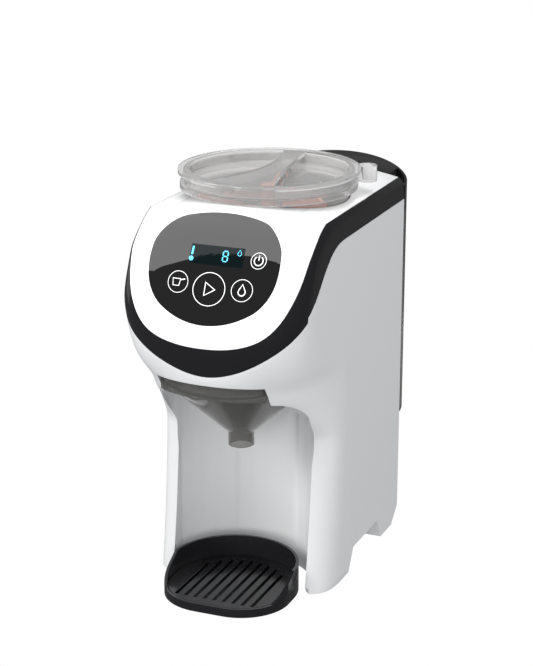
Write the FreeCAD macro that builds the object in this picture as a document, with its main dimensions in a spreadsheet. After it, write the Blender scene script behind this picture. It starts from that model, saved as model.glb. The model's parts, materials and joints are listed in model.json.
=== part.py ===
"""Baby formula maker: a free-standing counter-top mixer, in millimetres.

Origin on the counter under the middle of the machine, front towards -Y, +Z up.
The driving sizes are in the sheet "Dims"; every piece takes its size and place from them.
"""
import FreeCAD, Part
import math
import os

V = FreeCAD.Vector
doc = FreeCAD.newDocument("formula_maker")
dims = doc.addObject("Spreadsheet::Sheet", "Dims")

SIZES = dict(
    # overall form
    half_width=79.3, side_back=90.0, tail_slope=9.0, wall=3.0, seam=0.4, crown_top=329.0, crown_edge=320.0,
    shoulder_top=311.5, shoulder_in=4.3, body_floor=20.5, rail_width=15.7,
    # plan of the nose at each height: where the flat side ends, the front, and the two pulls
    foot_side=-38.0, foot_front=-95.0, foot_pull=57.0, foot_spread=79.0, foot_level=0.0,
    shin_side=-38.0, shin_front=-84.5, shin_pull=46.0, shin_spread=77.0, shin_level=66.0,
    leg_side=-38.0, leg_front=-79.0, leg_pull=40.0, leg_spread=75.0, leg_level=130.0,
    jaw_side=-39.0, jaw_front=-110.0, jaw_pull=55.0, jaw_spread=64.0, jaw_level=158.0,
    chin_side=-43.0, chin_front=-151.0, chin_pull=75.0, chin_spread=48.0, chin_level=186.0,
    lip_side=-63.0, lip_front=-158.5, lip_pull=80.0, lip_spread=62.0, lip_level=209.0,
    cheek_side=-103.0, cheek_front=-163.5, cheek_pull=45.0, cheek_spread=68.0, cheek_level=235.0,
    face_side=-121.0, face_front=-152.0, face_pull=26.0, face_spread=74.0, face_level=262.0,
    panel_side=-113.0, panel_front=-139.0, panel_pull=18.0, panel_spread=76.0, panel_level=290.0,
    brow_side=-83.0, brow_front=-126.0, brow_pull=25.0, brow_spread=74.0, brow_level=312.0,
    crest_side=-20.0, crest_front=-97.0, crest_pull=50.0, crest_spread=70.0, crest_level=332.0,
    # seam between the black band and the white front, and the band's lower edge
    white_half=75.0, white_low=230.5, white_corner=53.0, white_corner_level=244.3,
    white_side=71.7, white_side_level=277.6, white_straight=302.0, white_bend=65.0,
    white_bend_level=259.8, white_foot=29.2, white_foot_level=233.5,
    band_level=300.0, band_bend=-65.0, band_knee=-101.0, band_knee_level=281.5, band_chin=-133.0,
    band_chin_level=256.0, band_corner=54.4, band_corner_level=226.4, band_low=205.5,
    band_turn=70.0, band_turn_level=239.4, band_foot=32.0, band_foot_level=213.5, band_round=13.0,
    # touch glass
    glass_low=248.2, glass_corner=39.9, glass_corner_level=259.9, glass_side=53.3,
    glass_side_level=279.0, glass_wide=54.9, glass_wide_level=291.0, glass_brow=53.6,
    glass_brow_level=304.0, glass_round=45.0, glass_round_level=315.7, glass_top_corner=31.0,
    glass_top_corner_level=322.3, glass_top=325.4, glass_edge=-95.0, glass_thick=1.6,
    # filling bay
    bay_half=60.4, bay_flare=4.2, bay_flare_low=112.0, bay_middle=-95.0,
    bay_top=169.0, bay_rise=13.0, bay_run=60.0, bay_round=13.0,
    # arches in the side walls
    arch_front=-37.3, arch_front_top=-25.5, arch_back_top=35.4, arch_back=45.7,
    heel_end=74.0, heel_height=16.0,
    # spout and funnel
    spout_y=-83.0, spout_low=124.0, spout_top=136.0, spout_radius=10.9, spout_flare=11.5,
    cone_top=158.0, cone_radius=35.8, funnel_wall=1.8, face_half=46.0, face_low=184.0,
    face_top=197.0, face_radius=91.0, face_front_y=-151.0, hopper_back=-39.0, hopper_half=44.0,
    # powder container
    tub_y=-22.8, tub_radius=66.0, tub_low=232.0, tub_wall=2.4, collar_low=329.05, collar_radius=73.3,
    collar_top=334.0, rim_top=341.7, rim_radius=70.5, lid_radius=74.9, lid_top=344.8, lid_thick=3.1,
    lid_plug=7.2, scoop_radius=66.0, scoop_depth=9.0,
    ear_angle=31.0, ear_out=7.1, ear_radius=8.0, ear_low=330.4,
    drop_offset=50.0, drop_radius=9.0, wheel_radius=62.5, wheel_thick=8.0, pocket_count=8,
    shaft_radius=5.0, shaft_gap=0.05, paddle_top=328.0, paddle_radius=61.0,
    paddle_thick=3.0,
    # deck and drive
    deck_level=222.0, deck_thick=3.0, gear_module=1.1, gear_teeth=36, pinion_teeth=18,
    gear_thick=7.0, gear_level=208.0, motor_radius=18.0, motor_length=46.0, gearbox_height=16.0,
    # tray
    tray_y=-100.5, tray_half=54.5, tray_front=-154.5, tray_corner=42.0, tray_lip=7.3,
    tray_rim=25.0, tray_wall=2.4, grid_level=5.4, grid_thick=1.8, slot_count=9, slot_width=2.6,
    slot_pitch=8.5,
    # water tank
    tank_front=93.0, tank_middle=85.0, tank_radius=79.0, tank_low=104.0, tank_top=290.0,
    tank_wall=2.4, tank_lid_top=318.0, tank_gap=0.8,
    dock_radius=70.0, port_radius=7.0, port_level=60.0,
    tub_floor_thick=2.4, grip_right=15.0, grip_left=-6.0, scoop_wall=1.5, plate_level=193.0,
    rail_front=128.0, chute_low=202.0, nozzle_y=-100.0, nozzle_low=203.0, tray_floor=2.0,
    tray_low_end=-133.0, tray_high_start=-100.0, dock_top=100.0, port_y=120.0, port_deep=8.0,
    hinge_y=99.6, hinge_level=312.5, pin_radius=1.6, lug_high=8.0, float_radius=12.0,
    float_high=10.0, float_low=107.4, float_x=-45.0, float_y=115.0, float_rod_high=170.0,
    board_inset=11.3, arch_wall=2.0, runner_gap=0.25, runner_long=26.0, runner_high=5.0,
    foot_radius=5.0, foot_drop=1.2, foot_inset=10.0, foot_front_y=-62.0, foot_back_y=62.0,
    dock_foot_x=40.0, dock_foot_y=125.0, screw_inset=7.3, rib_reach=7.3, screw_front=-50.0, screw_back=52.0,
    screw_radius=1.5, screw_hold=1.4, screw_length=14.0, boss_radius=4.5, boss_height=24.0,
    hose_bend=7.0, plate_thick=3.0, fit_gap=0.3, carrier_wall=2.4, lap=8.0, glass_gap=0.15,
    board_depth=16.0, board_wide=100.0, board_thick=1.6, board_high=52.0, post_radius=3.0,
    post_x=44.0, post_up=20.0, screen_wide=54.0, screen_thick=5.0, screen_high=22.0,
    screen_up=8.0, funnel_gap=0.6, inlet_wide=28.0, inlet_high=20.0, inlet_x=-40.0,
    inlet_level=36.0, arch_front_low=-37.3, bush_radius=8.0, tooth_thin=0.12, motor_shaft=2.5,
    wheel_level=234.9, dog_wide=6.8, dog_high=5.0, bracket_level=201.0, bracket_thick=3.0,
    bracket_half=30.0,
)
for row, (name, size) in enumerate(SIZES.items(), 1):
    dims.set("A%d" % row, name)
    dims.set("B%d" % row, str(size))
    dims.setAlias("B%d" % row, name)
doc.recompute()


def size(name):
    """A driving size, read from the sheet."""
    return float(getattr(dims, name))


def cells(rule):
    """The rule with each sheet name given its sheet."""
    out, word = [], ""
    for mark in str(rule) + " ":
        if mark.isalnum() or mark == "_":
            word += mark
            continue
        out.append("Dims." + word if word in SIZES else word)
        out.append(mark)
        word = ""
    return "".join(out).strip()


def bind(obj, **rules):
    """Tie properties of an object to rules on the sheet's names."""
    for prop, rule in rules.items():
        obj.setExpression(prop.replace("__", "."), cells(rule))
    return obj


count = {"n": 0}


def fresh(word):
    count["n"] += 1
    return "%s_%d" % (word, count["n"])


def put(obj, place):
    """Tie an object's place to three rules."""
    for axis, rule in zip("xyz", place):
        obj.setExpression("Placement.Base." + axis, cells(rule))
    return obj


def box(x, y, z, at):
    return put(bind(doc.addObject("Part::Box", fresh("Block")), Length=x, Width=y, Height=z), at)


def cylinder(radius, height, at, axis=None):
    part = bind(doc.addObject("Part::Cylinder", fresh("Round")), Radius=radius, Height=height)
    if axis is not None:
        part.Placement = FreeCAD.Placement(V(), FreeCAD.Rotation(V(0, 0, 1), V(*axis)))
    return put(part, at)


def cone(low, high, height, at):
    part = doc.addObject("Part::Cone", fresh("Taper"))
    return put(bind(part, Radius1=low, Radius2=high, Height=height), at)


def fuse(*parts):
    if len(parts) == 1:
        return parts[0]
    out = doc.addObject("Part::MultiFuse", fresh("Joined"))
    out.Shapes = list(parts)
    out.Refine = False
    return out


def cut(base, *tools):
    out = doc.addObject("Part::Cut", fresh("Cut"))
    out.Base, out.Tool = base, fuse(*tools)
    out.Refine = False
    return out


def common(*parts):
    out = doc.addObject("Part::MultiCommon", fresh("Shared"))
    out.Shapes = list(parts)
    out.Refine = False
    return out


def solid(shape):
    """A shape worked out from the sheet, as an object of the document."""
    out = doc.addObject("Part::Feature", fresh("Form"))
    out.Shape = shape
    return out


nodes = {}


def node(name, obj):
    """Name a finished sub-part."""
    obj.Label = name
    nodes[name] = obj
    return obj


def prism(points, direction):
    """Extrude an outline of points and ("arc", via, end) steps."""
    edges, here = [], V(*points[0])
    for step in points[1:]:
        if step[0] == "arc":
            edges.append(Part.Arc(here, V(*step[1]), V(*step[2])).toShape())
            here = V(*step[2])
        else:
            edges.append(Part.LineSegment(here, V(*step)).toShape())
            here = V(*step)
    if here.sub(V(*points[0])).Length > 1e-6:
        edges.append(Part.LineSegment(here, V(*points[0])).toShape())
    return Part.Face(Part.Wire(edges)).extrude(V(*direction))


FAR = 400.0
LEVELS = ["foot", "shin", "leg", "jaw", "chin", "lip", "cheek", "face", "panel", "brow", "crest"]
PLANS = ["side", "front", "pull", "spread"]


def steady(heights, values, z):
    """A smooth curve through the values that never overshoots between two of them."""
    gaps = [b - a for a, b in zip(heights, heights[1:])]
    slopes = [(b - a) / gap for a, b, gap in zip(values, values[1:], gaps)]
    turns = [slopes[0]]
    for i in range(1, len(slopes)):
        left, right = slopes[i - 1], slopes[i]
        turns.append(0.0 if left * right <= 0 else 2 * left * right / (left + right))
    turns.append(slopes[-1])
    z = min(max(z, heights[0]), heights[-1])
    i = max(n for n in range(len(gaps)) if heights[n] <= z)
    gap, step = gaps[i], (z - heights[i]) / gaps[i]
    return (values[i] * (1 + 2 * step) * (1 - step) ** 2 + values[i + 1] * step ** 2 * (3 - 2 * step)
            + gap * turns[i] * step * (1 - step) ** 2 - gap * turns[i + 1] * step ** 2 * (1 - step))


def plan_at(z):
    """The nose's plan at a height: side, front, pull and spread."""
    heights = [size(level + "_level") for level in LEVELS]
    return [steady(heights, [size(level + "_" + word) for level in LEVELS], z) for word in PLANS]


def hull(inset, back_inset=None, base=-2.0):
    """The machine's outer form, drawn in by inset: one skin round the nose, flat sides and back."""
    half = size("half_width") - inset
    back = size("side_back") - (inset if back_inset is None else back_inset)
    low, high = size("foot_level") - 2.0, size("crest_level") + 2.0
    rows = []
    for n in range(43):
        z = low + (high - low) * n / 42
        side, front, pull, spread = plan_at(z)
        side, front, spread = side + 0.3 * inset, front + inset, spread - inset
        row = []
        for m in range(10):
            t = m / 9.0
            w = [(1 - t) ** 3, 3 * t * (1 - t) ** 2, 3 * t * t * (1 - t), t ** 3]
            row.append(V(half * (w[0] + w[1]) + spread * w[2],
                         side * w[0] + (side - pull) * w[1] + front * (w[2] + w[3]), z))
        rows.append(row + [V(-p.x, p.y, p.z) for p in row[-2::-1]])
    skin = Part.BSplineSurface()
    skin.interpolate(rows)
    nose = skin.toShape()

    def rim(test):
        return [e for e in nose.Edges if all(test(v.Point) for v in e.Vertexes)][0]
    bottom, top = rim(lambda p: p.z < low + 1), rim(lambda p: p.z > high - 1)
    right, left = rim(lambda p: p.x > half - 1), rim(lambda p: p.x < 1 - half)
    posts = [V(half, back, low), V(half, back, high), V(-half, back, high), V(-half, back, low)]

    def line(a, b):
        return Part.LineSegment(a, b).toShape()
    ends = {}
    for key, edge in (("right", right), ("left", left)):
        spots = sorted((v.Point for v in edge.Vertexes), key=lambda p: p.z)
        ends[key] = spots
    sides = [line(ends["right"][0], posts[0]), line(posts[0], posts[1]),
             line(posts[1], ends["right"][1]), line(ends["left"][0], posts[3]),
             line(posts[3], posts[2]), line(posts[2], ends["left"][1]), line(posts[0], posts[3]),
             line(posts[1], posts[2])]
    faces = [nose,
             Part.Face(Part.Wire(Part.__sortEdges__([right, sides[0], sides[1], sides[2]]))),
             Part.Face(Part.Wire(Part.__sortEdges__([left, sides[3], sides[4], sides[5]]))),
             Part.Face(Part.Wire(Part.__sortEdges__([sides[1], sides[6], sides[4], sides[7]]))),
             Part.Face(Part.Wire(Part.__sortEdges__([bottom, sides[0], sides[6], sides[3]]))),
             Part.Face(Part.Wire(Part.__sortEdges__([top, sides[2], sides[7], sides[5]])))]
    shell = Part.makeShell(faces)
    shell.sewShape()
    body = Part.makeSolid(shell)
    if body.Volume < 0:
        body.reverse()
    crown = size("crown_top") - inset
    edge = size("crown_edge") - inset
    inner = half - size("shoulder_in")
    shoulder = size("shoulder_top") - inset
    mid_x, mid_z = half - 1.3, shoulder + 0.72 * (edge - shoulder)
    roof = prism([(-half - 9, -FAR, base), (half + 9, -FAR, base), (half + 9, -FAR, shoulder),
                  (half, -FAR, shoulder), ("arc", (mid_x, -FAR, mid_z), (inner, -FAR, edge)),
                  ("arc", (0, -FAR, crown), (-inner, -FAR, edge)),
                  ("arc", (-mid_x, -FAR, mid_z), (-half, -FAR, shoulder)),
                  (-half - 9, -FAR, shoulder)], (0, 2 * FAR, 0))
    tail = size("tail_slope") - 0.8 * inset
    flat = size("band_level")
    slant = prism([(-FAR, back, flat), (-FAR, back - tail, crown + 5), (-FAR, -FAR, crown + 5),
                   (-FAR, -FAR, base), (-FAR, back + 1, base), (-FAR, back + 1, flat)],
                  (2 * FAR, 0, 0))
    return body.common(roof).common(slant)


def smooth_prism(half_line, grow, closing, direction):
    """Extrude an outline whose right half runs smoothly down to the middle, mirrored."""
    points = [V(x + grow * out, -FAR, z - grow * down) for x, z, out, down in half_line]
    points = points + [V(-p.x, p.y, p.z) for p in points[-2::-1]]
    curve = Part.BSplineCurve()
    curve.interpolate(points)
    edges = [curve.toShape()]
    corners = [points[-1]] + [V(*c) for c in closing] + [points[0]]
    for a, b in zip(corners, corners[1:]):
        edges.append(Part.LineSegment(a, b).toShape())
    return Part.Face(Part.Wire(edges)).extrude(V(*direction))


def white_region(grow):
    """What the white front covers: a U in front view, run through the depth."""
    half, straight = size("white_half"), size("white_straight")
    line = [(half, straight + 12, 1, 0), (half, straight, 1, 0),
            (size("white_side"), size("white_side_level"), 1, 0.2),
            (size("white_bend"), size("white_bend_level"), 0.85, 0.5),
            (size("white_corner"), size("white_corner_level"), 0.6, 0.8),
            (size("white_foot"), size("white_foot_level"), 0.2, 1), (0, size("white_low"), 0, 1)]
    return smooth_prism(line, grow, [(-half - grow, -FAR, FAR), (half + grow, -FAR, FAR)],
                        (0, 2 * FAR, 0))


def band_region(grow):
    """What the black band and the white front cover together, above the band's lower edge."""
    level = size("band_level") - grow
    bend, knee, chin = size("band_bend") + grow, size("band_knee") + grow, size("band_chin") + grow
    knee_z, chin_z = size("band_knee_level") - grow, size("band_chin_level") - grow
    start = V(-FAR, bend + size("band_round"), level)
    edges = [Part.LineSegment(V(-FAR, FAR, level), start).toShape()]
    curve = Part.BSplineCurve()
    curve.interpolate([start, V(-FAR, bend - size("band_round"), level - 3.6),
                       V(-FAR, knee, knee_z), V(-FAR, (knee + chin) / 2, (knee_z + chin_z) / 2 - 1.5),
                       V(-FAR, chin, chin_z)], InitialTangent=V(0, -1, 0), FinalTangent=V(0, -1, -0.7))
    edges.append(curve.toShape())
    corners = [V(-FAR, chin, chin_z), V(-FAR, chin, 0), V(-FAR, -FAR, 0), V(-FAR, -FAR, FAR),
               V(-FAR, FAR, FAR), V(-FAR, FAR, level)]
    for a, b in zip(corners, corners[1:]):
        edges.append(Part.LineSegment(a, b).toShape())
    side = Part.Face(Part.Wire(edges)).extrude(V(2 * FAR, 0, 0))
    wide = size("half_width") + 0.5
    line = [(wide, chin_z + grow, 0, 1), (size("band_turn"), size("band_turn_level"), 0.7, 0.7),
            (size("band_corner"), size("band_corner_level"), 0.5, 0.9),
            (size("band_foot"), size("band_foot_level"), 0.2, 1), (0, size("band_low"), 0, 1)]
    front = smooth_prism(line, grow, [(-wide, -FAR, FAR), (wide, -FAR, FAR)], (0, 2 * FAR, 0))
    return side.common(front)


def glass_region(grow):
    """The touch glass's outline in front view, run back to its top edge."""
    def at(x, z):
        return (size(x) + grow, -FAR, size(z))
    def mirror(point):
        return (-point[0], point[1], point[2])
    low = (0, -FAR, size("glass_low") - grow)
    top = (0, -FAR, size("glass_top") + grow)
    corner, side = at("glass_corner", "glass_corner_level"), at("glass_side", "glass_side_level")
    wide, brow = at("glass_wide", "glass_wide_level"), at("glass_brow", "glass_brow_level")
    turn, end = at("glass_round", "glass_round_level"), at("glass_top_corner", "glass_top_corner_level")
    bend = (0.5 * (corner[0] + side[0]) + 1.2, -FAR, 0.5 * (corner[2] + side[2]) - 1.6)
    return prism([corner, ("arc", bend, side), ("arc", wide, brow), ("arc", turn, end),
                  ("arc", top, mirror(end)), ("arc", mirror(turn), mirror(brow)),
                  ("arc", mirror(wide), mirror(side)), ("arc", mirror(bend), mirror(corner)),
                  ("arc", low, corner)], (0, FAR + size("glass_edge") + grow, 0))


def bay_region(grow):
    """The filling bay: a D in plan under a roof that rises forwards, wider towards the top."""
    half, middle = size("bay_half") + grow, size("bay_middle")
    wide = half + size("bay_flare")
    plan = prism([(wide, middle, -5), ("arc", (0, middle + wide, -5), (-wide, middle, -5)),
                  (-wide, -FAR, -5), (wide, -FAR, -5)], (0, 0, FAR))
    slope = size("bay_rise") / size("bay_run")
    y_back, y_front = 10.0, -FAR
    drop = (y_back - size("spout_y")) * slope
    z_back = size("bay_top") + grow - drop
    low, high = size("bay_flare_low") - drop, z_back - size("bay_round")
    rise = (y_back - y_front) * slope
    turn = size("bay_round")
    side = turn * (1 - math.sqrt(0.5))
    arch = prism([(half, y_back, -5 - rise), (half, y_back, low), (wide, y_back, high),
                  ("arc", (wide - side, y_back, z_back - side), (wide - turn, y_back, z_back)),
                  (-wide + turn, y_back, z_back),
                  ("arc", (-wide + side, y_back, z_back - side), (-wide, y_back, high)),
                  (-half, y_back, low), (-half, y_back, -5 - rise)], (0, y_front - y_back, rise))
    return plan.common(arch)


# housing skins: grey lower body, black band, white front, and the carrier behind them
outer = solid(hull(0.0, base=size("foot_drop")))
inner = solid(hull(size("wall")))
lining = solid(hull(size("wall") + size("carrier_wall")))
bay = solid(bay_region(0.0))
bay_walls = solid(bay_region(size("wall")))
hollow = cut(inner, bay_walls)
tub_hole = cylinder("tub_radius + 1", "200", ("0", "tub_y", "tub_low"))
band_all = solid(band_region(-size("seam")))
white_all = solid(white_region(0.0))
white_cut = solid(white_region(size("seam")))


def arch_cut(side):
    """The hand arch in one side wall, open below."""
    z0, top = -5.0, size("body_floor")
    x = side * (size("half_width") - size("rail_width"))
    points = [(x, size("arch_front_low"), z0), (x, size("arch_front"), size("foot_drop")),
              (x, size("arch_front_top"), top), (x, size("arch_back_top"), top),
              (x, size("arch_back"), size("foot_drop")), (x, size("arch_back"), z0)]
    return solid(prism(points, (side * 40.0, 0, 0)))


def arch_walls(side):
    """The walls that close the hollow skin round one hand arch, up to the base plate."""
    low, top, thick = size("foot_drop"), size("body_floor"), size("arch_wall")
    x = side * (size("half_width") - size("rail_width") - thick)
    front, back = size("arch_front") - thick, size("arch_back") + thick
    points = [(x, front, low), (x, size("arch_front_top") - thick, top),
              (x, size("arch_back_top") + thick, top), (x, back, low)]
    run = size("rail_width") + thick - size("wall") + 0.5
    return cut(solid(prism(points, (side * run, 0, 0))), arch_cut(side))


slot = box("2 * (face_half + funnel_gap)", "200 + hopper_back", "face_top + funnel_gap - 140",
           ("-face_half - funnel_gap", "-200 + 2", "140"))
heel = solid(prism([(-FAR, size("side_back") + 1, size("heel_height")),
                    (-FAR, size("heel_end"), size("foot_drop")), (-FAR, size("heel_end"), -5),
                    (-FAR, size("side_back") + 1, -5)], (2 * FAR, 0, 0)))
dock_port = cylinder("port_radius + 2", "20", ("0", "side_back - 10", "port_level"), (0, 1, 0))
inlet_hole = box("inlet_wide", "20", "inlet_high", ("inlet_x - inlet_wide / 2", "side_back - 10",
                                                   "inlet_level"))


# how far across the feet, the base screws and the power board stand
FOOT_X = "(half_width - foot_inset)"
SCREW_X = "(half_width - screw_inset)"
BOARD_X = "(half_width - board_inset)"


def four(x, front, back):
    """The places of the four base screws or feet."""
    return [(sign + x, place) for sign in ("-", "") for place in (front, back)]


bosses = [cylinder("boss_radius", "boss_height", (x, y, "body_floor + plate_thick"))
          for x, y in four(SCREW_X, "screw_front", "screw_back")]
boss_holes = [cylinder("screw_hold", "boss_height - 4", (x, y, "body_floor + plate_thick"))
              for x, y in four(SCREW_X, "screw_front", "screw_back")]
shell_skin = cut(outer, hollow, bay, solid(band_region(0.0)), slot, arch_cut(1), arch_cut(-1), heel,
                 dock_port, inlet_hole)
ribs = [box("rib_reach", "10", "10", (x, y, "deck_level - 10"))
        for x in ("half_width - wall - rib_reach", "-half_width + wall") for y in ("-40", "50")]
runners = [box("bay_half + wall - tray_half - runner_gap", "runner_long", "runner_high",
               (x, "tray_y - runner_long / 2", "foot_drop"))
           for x in ("tray_half + runner_gap", "-bay_half - wall")]
node("body_shell", cut(fuse(shell_skin, *(bosses + ribs + runners + [arch_walls(1), arch_walls(-1)])),
                       *boss_holes))
node("trim_band", cut(common(outer, band_all), white_cut, inner))
glass_back = solid(hull(size("glass_thick")))
glass_bed = cut(solid(glass_region(size("glass_gap"))), glass_back)
white_skin = cut(common(outer, band_all, white_all), inner, glass_bed, tub_hole)
node("fascia", white_skin)
node("touch_glass", cut(common(outer, solid(glass_region(0.0))), glass_back))

# carrier behind the white front, with posts for the control board
TILT = math.degrees(math.atan2(size("face_front") - size("brow_front"),
                               size("brow_level") - size("face_level")))
FACE_TURN = FreeCAD.Rotation(V(1, 0, 0), TILT)
FACE_MID = V(0, size("panel_front"), size("panel_level"))


def on_face(obj, x, depth, up):
    """Lay an object parallel to the glass: x across, depth behind it, up along it."""
    shift = FACE_TURN.multVec(V(x, depth, up))
    obj.Placement = FreeCAD.Placement(FACE_MID.add(shift), FACE_TURN)
    return obj


def face_box(wide, thick, high, depth, up):
    w, d, t = size(wide), size(thick), size(high)
    return on_face(solid(Part.makeBox(w, d, t, V(-w / 2, 0, -t / 2))), 0.0, depth, up)


board_depth = size("board_depth")
posts = []
for x in (-1, 1):
    for up in (-1, 1):
        rod = Part.makeCylinder(size("post_radius"), 40, V(0, board_depth, 0), V(0, -1, 0))
        posts.append(on_face(solid(rod), x * size("post_x"), 0.0, up * size("post_up")))
carrier_skin = cut(common(inner, solid(band_region(size("lap")))), lining, tub_hole)
carrier_posts = common(fuse(*posts), solid(hull(size("wall") + 1.0)))
node("top_carrier", fuse(carrier_skin, carrier_posts))
board = face_box("board_wide", "board_thick", "board_high", board_depth, 0.0)
node("control_board", board)
screen = face_box("screen_wide", "screen_thick", "screen_high", board_depth - size("screen_thick"),
                  size("screen_up"))
node("display_module", screen)

# base: plate, screws, rubber feet
plate_plan = solid(hull(size("wall") + size("fit_gap"), base=size("body_floor")))
plate_slab = box("300", "300", "plate_thick", ("-150", "-150", "body_floor"))
plate_bay = solid(bay_region(size("wall") + size("fit_gap")))
legs = [cylinder("foot_radius + 1", "body_floor - foot_drop", (x, y, "foot_drop"))
        for x, y in four(FOOT_X, "foot_front_y", "foot_back_y")]
screw_ways = [cylinder("screw_radius + 0.2", "plate_thick + 2", (x, y, "body_floor - 1"))
              for x, y in four(SCREW_X, "screw_front", "screw_back")]
node("base_plate", cut(fuse(cut(common(plate_plan, plate_slab), plate_bay), *legs), *screw_ways))
screws = []
for x, y in four(SCREW_X, "screw_front", "screw_back"):
    shank = cylinder("screw_radius", "screw_length", (x, y, "body_floor"))
    screws.append(fuse(shank, cylinder("screw_radius * 2", "screw_radius * 1.4",
                                       (x, y, "body_floor - screw_radius * 1.4"))))
node("base_screws", fuse(*screws))
pads = [cylinder("foot_radius", "foot_drop", (x, y, "0"))
        for x, y in four(FOOT_X, "foot_front_y", "foot_back_y")
        + four("dock_foot_x", "dock_foot_y", "dock_foot_y")[::2]]
node("rubber_feet", fuse(*pads))

# deck and drive train
deck_plan = solid(hull(size("wall") + size("carrier_wall") + size("fit_gap")))
deck_slab = box("300", "400", "deck_thick", ("-150", "-250", "deck_level"))
chute_way = cylinder("drop_radius + 2.2", "20", ("0", "tub_y - drop_offset", "deck_level - 5"))
bush_way = cylinder("bush_radius", "20", ("0", "tub_y", "deck_level - 5"))
node("deck_plate", cut(common(deck_plan, deck_slab), chute_way, bush_way))
bush = cut(cylinder("bush_radius", "deck_thick + 2", ("0", "tub_y", "deck_level - 2")),
           cylinder("shaft_radius + shaft_gap", "20", ("0", "tub_y", "deck_level - 6")))
node("shaft_bush", bush)


def gear(teeth, module, thick, bore, phase):
    """A spur gear: involute flanks, thinned a little so that the pair runs free."""
    pitch, angle = teeth * module / 2, math.radians(20)
    base = pitch * math.cos(angle)
    tip, root = pitch + module, pitch - 1.25 * module

    def roll(radius):
        turn = math.acos(min(1.0, base / radius))
        return math.tan(turn) - turn
    half = math.pi / 2 / teeth - size("tooth_thin") / 2 / pitch + roll(pitch)
    start = max(base, root)
    radii = [start + (tip - start) * n / 6 for n in range(7)]
    points = []
    for tooth in range(teeth):
        mid = phase + 2 * math.pi * tooth / teeth
        flank = [(r, half - roll(r)) for r in radii]
        side = [(root, mid - half)] + [(r, mid - a) for r, a in flank]
        side += [(r, mid + a) for r, a in flank[::-1]] + [(root, mid + half)]
        points += [V(r * math.cos(a), r * math.sin(a), 0) for r, a in side]
    wheel = Part.Face(Part.makePolygon(points + [points[0]])).extrude(V(0, 0, thick))
    return wheel.cut(Part.makeCylinder(bore, thick + 2, V(0, 0, -1)))


TEETH, PINION = int(size("gear_teeth")), int(size("pinion_teeth"))
MODULE = size("gear_module")
reach = "gear_module * (gear_teeth + pinion_teeth) / 2"
wheel_form = solid(gear(TEETH, MODULE, size("gear_thick"), size("shaft_radius"), -math.pi / 2))
node("drive_gear", put(wheel_form, ("0", "tub_y", "gear_level")))
pinion_form = solid(gear(PINION, MODULE, size("gear_thick"), size("motor_shaft"),
                         math.pi / 2 + math.pi / PINION))
node("motor_pinion", put(pinion_form, ("0", "tub_y + " + reach, "gear_level")))
shaft = cylinder("shaft_radius", "wheel_level - gear_level + 2", ("0", "tub_y", "gear_level - 2"))
dog = box("dog_wide", "dog_wide", "dog_high", ("-dog_wide / 2", "tub_y - dog_wide / 2",
                                               "wheel_level"))
node("drive_shaft", fuse(shaft, dog))
motor_y = "tub_y + " + reach
can = cylinder("motor_radius", "motor_length", ("0", motor_y, "bracket_level - motor_length"))
spindle = cylinder("motor_shaft", "gear_level + gear_thick + 1 - bracket_level + bracket_thick + 1",
                   ("0", motor_y, "bracket_level - 1"))
node("gear_motor", can)
node("motor_spindle", cylinder("motor_shaft", "gear_level + gear_thick - bracket_level + 1",
                               ("0", motor_y, "bracket_level")))
flange = box("2 * bracket_half", "2 * motor_radius + 12", "bracket_thick",
             ("-bracket_half", motor_y + " - motor_radius - 6", "bracket_level"))
hangers = [cylinder("4", "deck_level - bracket_level",
                    (sign + "(bracket_half - 5)", motor_y, "bracket_level")) for sign in ("-", "")]
hub_way = cylinder("motor_shaft + 1.5", "20", ("0", motor_y, "bracket_level - 5"))
node("motor_bracket", cut(fuse(flange, *hangers), hub_way))

# powder container, lifted out by its collar
tub_mid = ("0", "tub_y")


def ring(outer_r, inner_r, low, high):
    """A ring round the container's axis between two levels."""
    body = cylinder(outer_r, "(" + high + ") - (" + low + ")", tub_mid + (low,))
    return cut(body, cylinder(inner_r, "(" + high + ") - (" + low + ") + 2", tub_mid + (low + " - 1",)))


drop_hole = cylinder("drop_radius", "20", ("0", "tub_y - drop_offset", "tub_low - 5"))
shaft_way = cylinder("dog_wide * 0.75 + 0.9", "20", tub_mid + ("tub_low - 5",))
tub_floor = cylinder("tub_radius", "tub_floor_thick", tub_mid + ("tub_low",))
node("powder_tub", cut(fuse(tub_floor, ring("tub_radius", "tub_radius - tub_wall", "tub_low", "collar_top"),
                            ring("collar_radius", "tub_radius - tub_wall", "collar_low", "collar_top"),
                            ring("rim_radius", "rim_radius - tub_wall", "collar_top - 0.5", "rim_top"),
                            ring("rim_radius", "tub_radius - tub_wall", "collar_top - 2", "collar_top")),
                       drop_hole, shaft_way))
wheel_disc = cylinder("wheel_radius", "wheel_thick", tub_mid + ("wheel_level",))
pockets = []
for n in range(int(size("pocket_count"))):
    turn = 360.0 / int(size("pocket_count")) * (n + 0.5)
    spot = solid(Part.makeCylinder(size("drop_radius"), size("wheel_thick") + 2,
                                   V(size("drop_offset") * math.sin(math.radians(turn)),
                                     -size("drop_offset") * math.cos(math.radians(turn)), -1)))
    pockets.append(put(spot, ("0", "tub_y", "wheel_level")))
dog_way = box("dog_wide + 0.4", "dog_wide + 0.4", "dog_high + 0.6",
              ("-dog_wide / 2 - 0.2", "tub_y - dog_wide / 2 - 0.2", "wheel_level - 0.1"))
node("metering_wheel", cut(fuse(wheel_disc, cylinder("9", "14", tub_mid + ("wheel_level",))),
                           dog_way, *pockets))
hub = cylinder("7", "paddle_top - wheel_level - 14", tub_mid + ("wheel_level + 14",))
blades = []
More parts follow.
